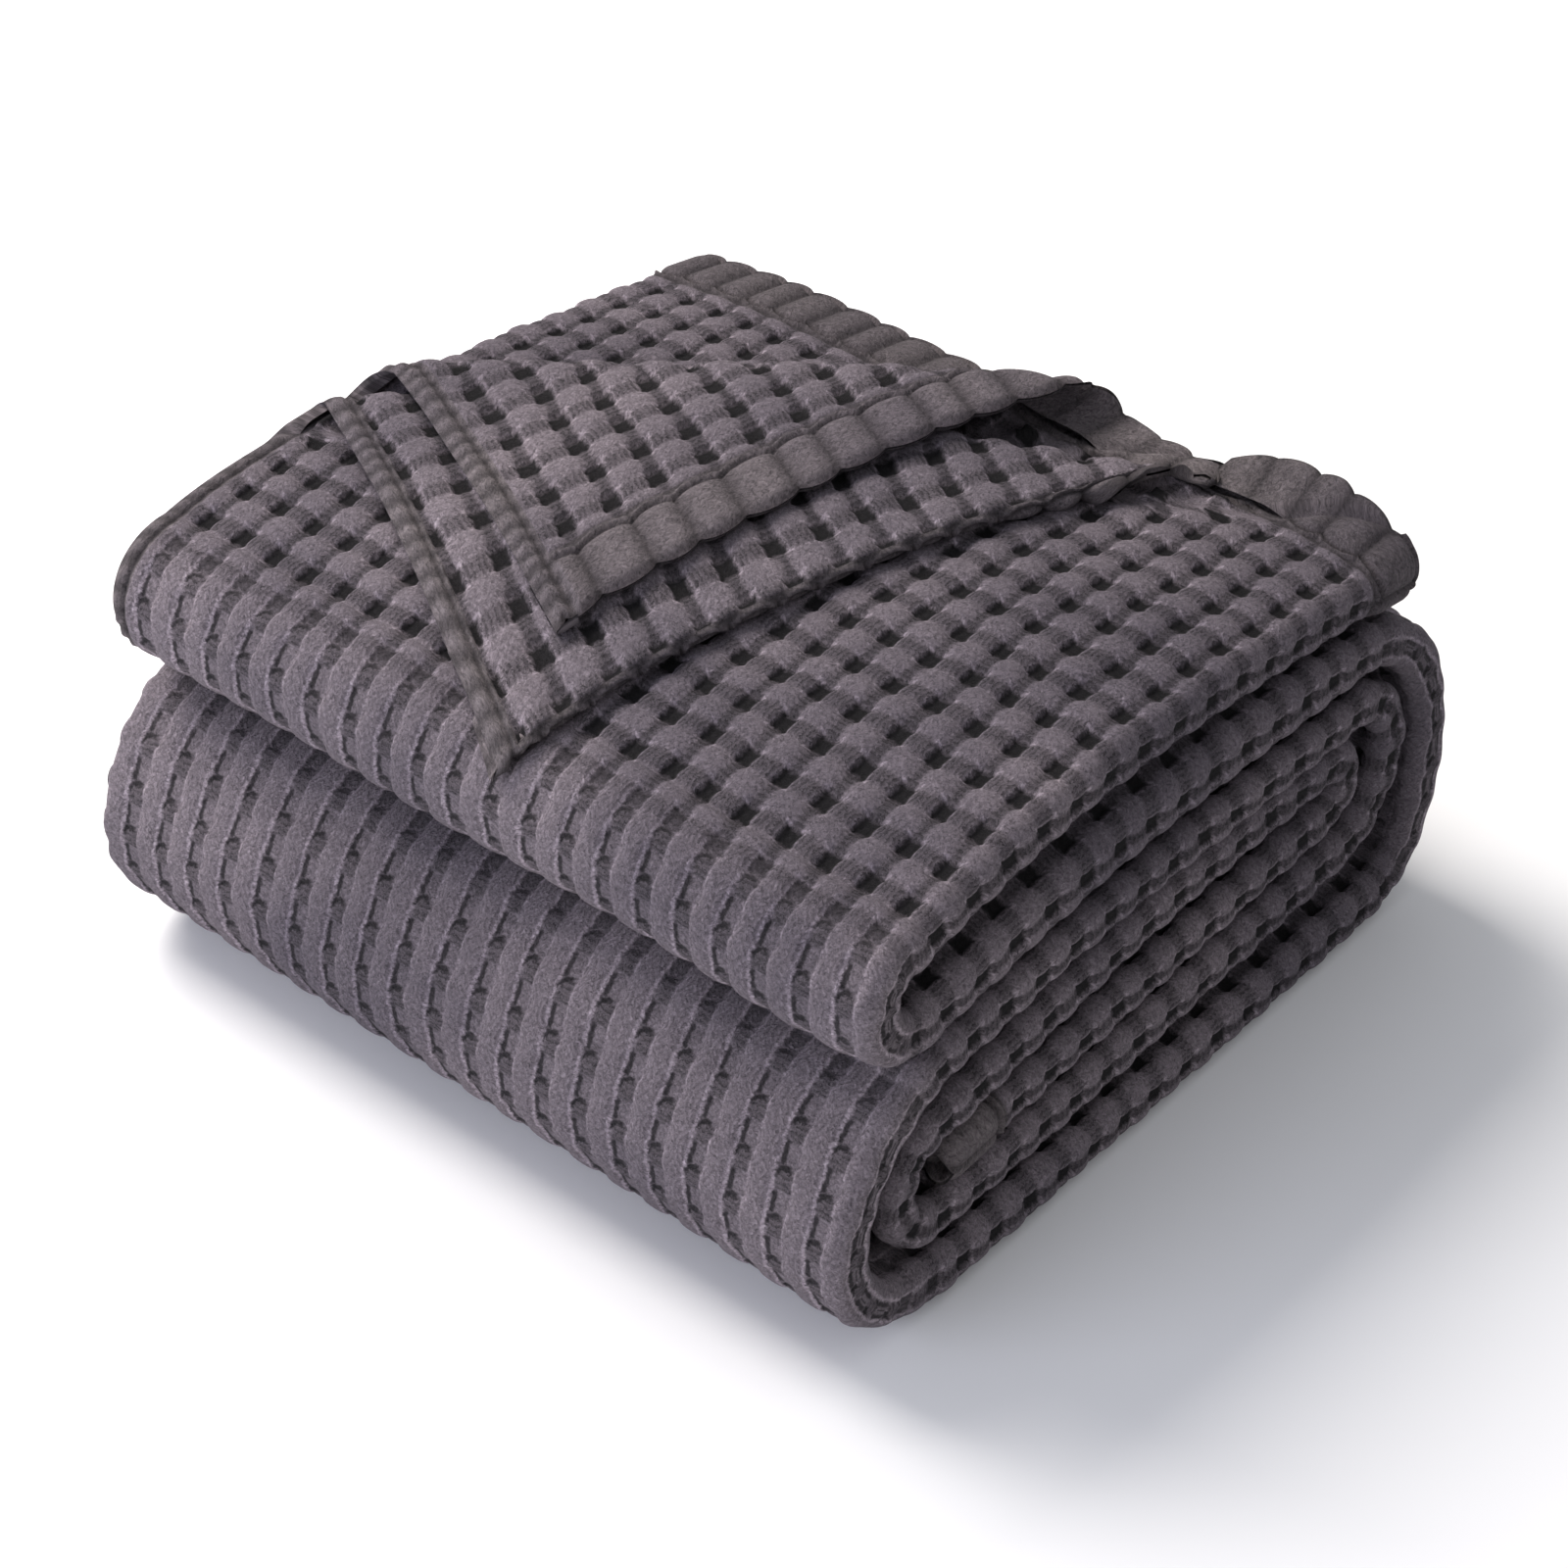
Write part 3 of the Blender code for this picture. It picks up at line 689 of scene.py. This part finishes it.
def base_normals(across, along):
    """Normal of the cloth's middle surface, from points close by on both sides."""
    near = 0.04
    low_u, high_u = np.maximum(across - near, 0), np.minimum(across + near, CELLS_ACROSS)
    low_s, high_s = np.maximum(along - near, 0), np.minimum(along + near, CELLS_ALONG)
    du = cloth_point(high_u, along)[0] - cloth_point(low_u, along)[0]
    ds = cloth_point(across, high_s)[0] - cloth_point(across, low_s)[0]
    # on the underside of a hem the cloth runs backwards
    backwards_u = np.where((across < 1) | (across > CELLS_ACROSS - 1), -1.0, 1.0)
    backwards_s = np.where((along < 1) | (along > CELLS_ALONG - 1), -1.0, 1.0)
    normal = np.cross(du, ds) * (backwards_u * backwards_s)[:, None]
    size = np.linalg.norm(normal, axis=1, keepdims=True)
    return normal / np.maximum(size, 1e-12)


def build_cloth():
    """All of the cloth: points, face lists, masks and smooth normals."""
    across, along, quads, quad_cells, patches, patch_cells = cloth_lattice(cell_steps())
    points, side, progress = cloth_point(across, along)
    normals = base_normals(across, along)
    height, masks, weave = relief(across, along, side, progress)
    points = points + normals * height[:, None]
    points[:, 2] = np.maximum(points[:, 2], CLEAR_OF_FLOOR)
    return dict(points=points, quads=quads, quad_cells=quad_cells, patches=patches,
                patch_cells=patch_cells, normals=surface_normals(points, quads),
                masks=masks, weave=weave)


def cloth_piece(name, cloth, rows, columns, materials):
    """One stretch of the cloth as an object: rows along it, columns across it."""
    def mine(cells):
        return ((cells[:, 0] >= columns[0]) & (cells[:, 0] < columns[1])
                & (cells[:, 1] >= rows[0]) & (cells[:, 1] < rows[1]))

    quads = cloth["quads"][mine(cloth["quad_cells"])]
    chosen = np.nonzero(mine(cloth["patch_cells"]))[0]
    patches = [cloth["patches"][k] for k in chosen]
    loops = np.concatenate([quads.ravel(), *[np.array(p) for p in patches]]).astype(np.int64)
    sizes = np.concatenate([np.full(len(quads), 4), [len(p) for p in patches]]).astype(np.int32)
    kept, loops = np.unique(loops, return_inverse=True)
    mesh = bpy.data.meshes.new(name)
    mesh.vertices.add(len(kept))
    mesh.vertices.foreach_set("co", cloth["points"][kept].astype(np.float32).ravel())
    mesh.loops.add(len(loops))
    mesh.loops.foreach_set("vertex_index", loops.astype(np.int32).ravel())
    mesh.polygons.add(len(sizes))
    starts = np.concatenate(([0], np.cumsum(sizes)[:-1])).astype(np.int32)
    mesh.polygons.foreach_set("loop_start", starts)
    cells = np.concatenate([cloth["quad_cells"][mine(cloth["quad_cells"])],
                            cloth["patch_cells"][chosen]])
    is_hem = ((cells[:, 0] < 2) | (cells[:, 0] >= CELLS_ACROSS - 2)
              | (cells[:, 1] < FIRST_REPEAT) | (cells[:, 1] >= LAST_REPEAT))
    mesh.polygons.foreach_set("material_index", is_hem.astype(np.int32))
    mesh.update(calc_edges=True)
    mesh.shade_smooth()
    weave_map = mesh.uv_layers.new(name="weave")
    weave_map.data.foreach_set("uv", cloth["weave"][kept][loops.ravel()].astype(np.float32).ravel())
    for key, values in cloth["masks"].items():
        layer = mesh.attributes.new(key, "FLOAT", "POINT")
        layer.data.foreach_set("value", values[kept].astype(np.float32))
    mesh.normals_split_custom_set_from_vertices(cloth["normals"][kept].tolist())
    for material in materials:
        mesh.materials.append(material)
    piece = bpy.data.objects.new(name, mesh)
    bpy.context.scene.collection.objects.link(piece)
    return piece


# ---- cotton ----
def put(tree, value, socket):
    """Set an input, or link it where the value is another node's output."""
    if isinstance(value, bpy.types.NodeSocket):
        tree.links.new(value, socket)
    else:
        socket.default_value = value


def add_node(tree, kind, settings=None, **inputs):
    """A shader node with its settings, and its inputs set or linked by name."""
    node = tree.nodes.new("ShaderNode" + kind)
    for name, value in (settings or {}).items():
        setattr(node, name, value)
    for name, value in inputs.items():
        put(tree, value, node.inputs[name.replace("_", " ")])
    return node


def math_node(tree, operation, *values):
    """The result of a math node."""
    node = add_node(tree, "Math", dict(operation=operation))
    for socket, value in zip(node.inputs, values):
        put(tree, value, socket)
    return node.outputs[0]


def length_of(calculate, u, v):
    """Length of the vector u, v."""
    return calculate("SQRT", calculate("ADD", calculate("MULTIPLY", u, u), calculate("MULTIPLY", v, v)))


def off(calculate, value, middle):
    """How far value is from middle."""
    return calculate("ABSOLUTE", calculate("SUBTRACT", value, middle))


def scaled_vector(tree, vector, factor):
    """A vector made longer by a factor."""
    scaled = add_node(tree, "VectorMath", dict(operation="SCALE"), Vector=vector, Scale=factor)
    return scaled.outputs[0]


def new_group(name, inputs, outputs):
    """A node group, with what goes into it and what comes out, by name."""
    group = bpy.data.node_groups.new(name, "ShaderNodeTree")
    for direction, sockets in (("INPUT", inputs), ("OUTPUT", outputs)):
        for socket, kind in sockets.items():
            group.interface.new_socket(name=socket, in_out=direction, socket_type="NodeSocket" + kind)
    given, result = group.nodes.new("NodeGroupInput"), group.nodes.new("NodeGroupOutput")
    return group, given.outputs, result.inputs


def cotton_yarn_group():
    """Yarns, fuzz and curly loops of the washed cotton: a height for bump and a shade."""
    group, given, result = new_group(
        "cotton_yarn", dict(Weave="Vector", Yarns="Float", Fuzz="Float", Curly="Float"),
        dict(Height="Float", Shade="Float"))
    calculate = functools.partial(math_node, group)
    place = scaled_vector(group, given["Weave"], given["Yarns"])
    fuzz = add_node(group, "TexNoise", Vector=place, Scale=1.3, Detail=8.0, Roughness=0.78,
                    Distortion=1.2).outputs["Fac"]

    # loops of thread: rings round the middle of each recess, frayed by the fuzz
    parts = add_node(group, "SeparateXYZ", Vector=given["Weave"]).outputs
    u, v = (calculate("SUBTRACT", calculate("FRACT", parts[axis]), 0.5) for axis in "XY")
    frayed = calculate("MULTIPLY_ADD", fuzz, 0.42, length_of(calculate, u, v))
    loops = calculate("SINE", calculate("MULTIPLY", frayed, 2 * math.pi * LOOPS))
    loops = calculate("MULTIPLY", loops, given["Curly"])

    # stray strands: thin light lines that wander over the pillows and crowd the curls
    strands = add_node(group, "TexNoise", Vector=place, Scale=0.75, Detail=3.0, Distortion=2.2)
    off_line = calculate("MULTIPLY", off(calculate, strands.outputs["Fac"], 0.5), 22.0)
    line = calculate("SUBTRACT", 1.0, calculate("MINIMUM", off_line, 1.0))
    line = calculate("MULTIPLY", line, calculate("MULTIPLY_ADD", given["Curly"], 0.60, 0.40))

    parts = add_node(group, "SeparateXYZ", Vector=place).outputs
    waves = [calculate("SINE", calculate("MULTIPLY", parts[axis], 2 * math.pi)) for axis in "XY"]
    fuzzy = calculate("MULTIPLY", fuzz, given["Fuzz"])
    height = calculate("MULTIPLY_ADD", calculate("MULTIPLY", *waves), 0.06, fuzzy)
    height = calculate("MULTIPLY_ADD", line, 0.30, height)
    shade = calculate("MULTIPLY_ADD", line, 0.20, calculate("SUBTRACT", fuzz, 0.03))
    put(group, calculate("MULTIPLY_ADD", loops, 0.24, height), result["Height"])
    put(group, calculate("MULTIPLY_ADD", loops, 0.10, shade), result["Shade"])
    return group


def recess_shade_group():
    """Painted shade in the recesses of the weave and painted highlights on their rims:
    stars where it lies flat, and a slit with a hook round the next knot where it is
    drawn round a fold."""
    group, given, result = new_group(
        "weave_recess_shade", dict(Weave="Vector", Drawn="Float", Fray="Float"),
        dict(Dark="Float", RimHighlight="Float"))
    calculate = functools.partial(math_node, group)

    def fade(value, full, none):
        """1 where value is at full, 0 at none, and soft between."""
        return add_node(group, "MapRange", dict(interpolation_type="SMOOTHSTEP"), Value=value,
                        From_Min=full, From_Max=none, To_Min=1.0, To_Max=0.0).outputs["Result"]

    threads = add_node(group, "TexNoise", Vector=given["Weave"], Scale=7.0, Detail=4.0, Roughness=0.7)
    frays = add_node(group, "SeparateXYZ", Vector=threads.outputs["Color"]).outputs
    parts = add_node(group, "SeparateXYZ", Vector=given["Weave"]).outputs
    facing, taut = (calculate(sign, given["Drawn"]) for sign in ("SIGN", "ABSOLUTE"))
    place = []
    for axis in "XY":
        strayed = calculate("MULTIPLY", calculate("SUBTRACT", frays[axis], 0.5), given["Fray"])
        inside = calculate("FRACT", calculate("ADD", parts[axis], strayed))
        place.append(calculate("SUBTRACT", inside, 0.5))

    # painted shade of a recess: a star, whose four points lie between the pillows and the curls
    points = [calculate("ABSOLUTE", calculate(way, *place)) for way in ("ADD", "SUBTRACT")]
    powers = [calculate("POWER", calculate("DIVIDE", point, STAR_REACH), 0.8) for point in points]
    spread = calculate("ADD", *powers)
    flat = calculate("SUBTRACT", 1.0, taut)
    star = calculate("MULTIPLY", fade(spread, 0.86, 1.06), flat)
    # painted highlight round the star
    rim = calculate("MULTIPLY", fade(off(calculate, spread, 1.24), 0.06, 0.20), flat)
    rim = calculate("MULTIPLY", rim, 0.8)

    # painted shadow: the slit beside a rib, and its hook
    s, t = (calculate("MULTIPLY", value, facing) for value in place)
    slit = fade(off(calculate, s, 0.15), 0.025, 0.085)
    slit = calculate("MULTIPLY", slit, fade(calculate("ABSOLUTE", t), 0.20, 0.30))
    s_knot, t_knot = calculate("ADD", s, 0.02), calculate("SUBTRACT", 0.5, t)
    hook = fade(off(calculate, length_of(calculate, s_knot, t_knot), 0.24), 0.025, 0.085)
    hook = calculate("MULTIPLY", hook, fade(s, -0.02, -0.14))
    hook = calculate("MULTIPLY", hook, fade(s, 0.17, 0.24))
    drawn = calculate("MULTIPLY", calculate("MAXIMUM", slit, hook), taut)
    # painted highlight along both edges of a rib
    edge = fade(off(calculate, s, 0.245), 0.012, 0.050)
    other = fade(off(calculate, s, -0.20), 0.010, 0.040)
    edge = calculate("MULTIPLY", calculate("MULTIPLY_ADD", other, 0.5, edge), taut)
    put(group, calculate("MAXIMUM", star, drawn), result["Dark"])
    put(group, calculate("ADD", rim, edge), result["RimHighlight"])
    return group


def washed_colour_group():
    """Uneven colour of washed and dyed cotton over the whole blanket."""
    group, given, result = new_group("washed_colour", dict(Light="Color", Dark="Color"),
                                     dict(Colour="Color"))
    place = add_node(group, "TexCoord").outputs["Object"]
    clouds = add_node(group, "TexNoise", Vector=place, Scale=9.0, Detail=3.0)
    spread = add_node(group, "MapRange", Value=clouds.outputs["Fac"], From_Min=0.35, From_Max=0.65)
    mix = add_node(group, "Mix", dict(data_type="RGBA"), Factor=spread.outputs["Result"],
                   A=given["Dark"], B=given["Light"])
    put(group, mix.outputs["Result"], result["Colour"])
    return group


def cotton_material(cotton, yarn_group, colour_group, recesses):
    """Matt charcoal cotton, as light as the mesh's own mask says, with the painted shade and painted
    highlights in that mask.
    """
    material = bpy.data.materials.new(cotton["name"])
    material.use_nodes = True
    tree = material.node_tree
    shader = tree.nodes["Principled BSDF"].inputs
    for name, value in (("Roughness", 0.95), ("Sheen Weight", 0.05), ("Sheen Roughness", 0.6),
                        ("Specular IOR Level", 0.05)):
        shader[name].default_value = value

    def mask(name):
        return add_node(tree, "Attribute", dict(attribute_name=name)).outputs["Fac"]

    weave = add_node(tree, "UVMap", dict(uv_map="weave")).outputs["UV"]
    yarn = add_node(tree, "Group", dict(node_tree=yarn_group), Weave=weave, Curly=mask("curly"),
                    Yarns=cotton["yarns"], Fuzz=1.0).outputs
    washed = add_node(tree, "Group", dict(node_tree=colour_group), Light=cotton["light"],
                      Dark=cotton["dark"]).outputs["Colour"]
    grain = add_node(tree, "MapRange", Value=yarn["Shade"], From_Min=0.32, From_Max=0.68,
                     To_Min=0.30, To_Max=1.80).outputs["Result"]
    # the light mask: painted shade and painted highlights from the mesh
    level = math_node(tree, "MULTIPLY_ADD", mask("light"), 1.15, 0.06)
    # painted shade in the recesses, painted highlights on their rims
    if cotton["recesses"]:
        marks = add_node(tree, "Group", dict(node_tree=recesses), Weave=weave, Drawn=mask("drawn"),
                         Fray=0.17).outputs
        shaded = math_node(tree, "MULTIPLY_ADD", marks["Dark"], RECESS_SHADE, 1.0)
        shaded = math_node(tree, "MULTIPLY_ADD", marks["RimHighlight"], RIM_LIGHT, shaded)
        level = math_node(tree, "MULTIPLY", level, shaded)
    level = math_node(tree, "MULTIPLY", level, grain)
    put(tree, scaled_vector(tree, washed, level), shader["Base Color"])
    bumps = add_node(tree, "Bump", Strength=0.9, Distance=0.0018, Height=yarn["Height"])
    put(tree, bumps.outputs["Normal"], shader["Normal"])
    return material


# ---- studio ----
def pale_floor():
    """A plain floor, wider than any view of the blanket."""
    bpy.ops.object.select_all(action="DESELECT")
    bpy.ops.mesh.primitive_plane_add(size=8.0, location=(0.0, 0.0, 0.0))
    floor = bpy.context.object
    floor.name = "floor"
    paper = bpy.data.materials.new("pale_paper")
    paper.use_nodes = True
    shader = paper.node_tree.nodes["Principled BSDF"].inputs
    shader["Base Color"].default_value = (0.93, 0.93, 0.93, 1)
    shader["Roughness"].default_value = 0.9
    floor.data.materials.append(paper)


def soft_light():
    """A pale room, and square lamps that face the blanket."""
    world = bpy.data.worlds.new("studio")
    world.use_nodes = True
    room = world.node_tree.nodes["Background"].inputs
    room["Color"].default_value = (0.93, 0.95, 1.0, 1)
    room["Strength"].default_value = 0.48
    bpy.context.scene.world = world
    bpy.context.scene.view_settings.view_transform = "Standard"
    for row in LIGHTS:
        data = bpy.data.lights.new(row["name"], "AREA")
        data.size, data.energy, data.color = row["size"], row["power"], row["colour"]
        lamp = bpy.data.objects.new(row["name"], data)
        lamp.location = row["place"]
        aim = LIGHTS_AIM - np.array(row["place"])
        tilt = math.atan2(math.hypot(aim[0], aim[1]), -aim[2])
        lamp.rotation_euler = (tilt, 0.0, math.atan2(-aim[0], aim[1]))
        bpy.context.scene.collection.objects.link(lamp)


def photo_camera():
    """The camera, at the photograph's angle."""
    azimuth, elevation = math.radians(CAMERA["azimuth"]), math.radians(CAMERA["elevation"])
    towards = np.array((math.sin(azimuth) * math.cos(elevation),
                        -math.cos(azimuth) * math.cos(elevation), math.sin(elevation)))
    view = bpy.data.cameras.new("camera")
    view.lens, view.sensor_width = CAMERA["lens"], CAMERA["sensor"]
    camera = bpy.data.objects.new("camera", view)
    camera.location = np.array(CAMERA["target"]) + towards * CAMERA["distance"]
    camera.rotation_euler = (math.pi / 2 - elevation, 0.0, azimuth)
    bpy.context.scene.collection.objects.link(camera)
    bpy.context.scene.camera = camera


# ---- the blanket ----
def row_at(progress):
    """The row of cells at a place on the path, with the end hems beyond its ends."""
    if progress <= 0.0:
        return 0
    if progress >= TOP_END:
        return CELLS_ALONG
    place = np.interp(progress, PATH["progress"], PATH["along"])
    share = (place - END_HEM) / (CLOTH_LENGTH - 2 * END_HEM)
    return FIRST_REPEAT + int(round(share * REPEATS_ALONG))


def dress():
    """The cloth in its pieces, one for each stretch of it."""
    groups = (cotton_yarn_group(), washed_colour_group(), recess_shade_group())
    cottons = [cotton_material(cotton, *groups) for cotton in COTTONS]
    cloth = build_cloth()
    for row in PIECES:
        rows, leaves = (row_at(row["since"]), row_at(row["until"])), row["leaves"]
        piece = cloth_piece(row["name"], cloth, rows, (leaves[0]["first"], leaves[-1]["last"]), cottons)
        length = (min(rows[1], LAST_REPEAT) - max(rows[0], FIRST_REPEAT)) * REPEAT_ALONG
        length += END_HEM * ((rows[0] == 0) + (rows[1] == CELLS_ALONG))
        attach(piece, "root")
        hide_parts("blanket")


dress()
pale_floor()
soft_light()
photo_camera()
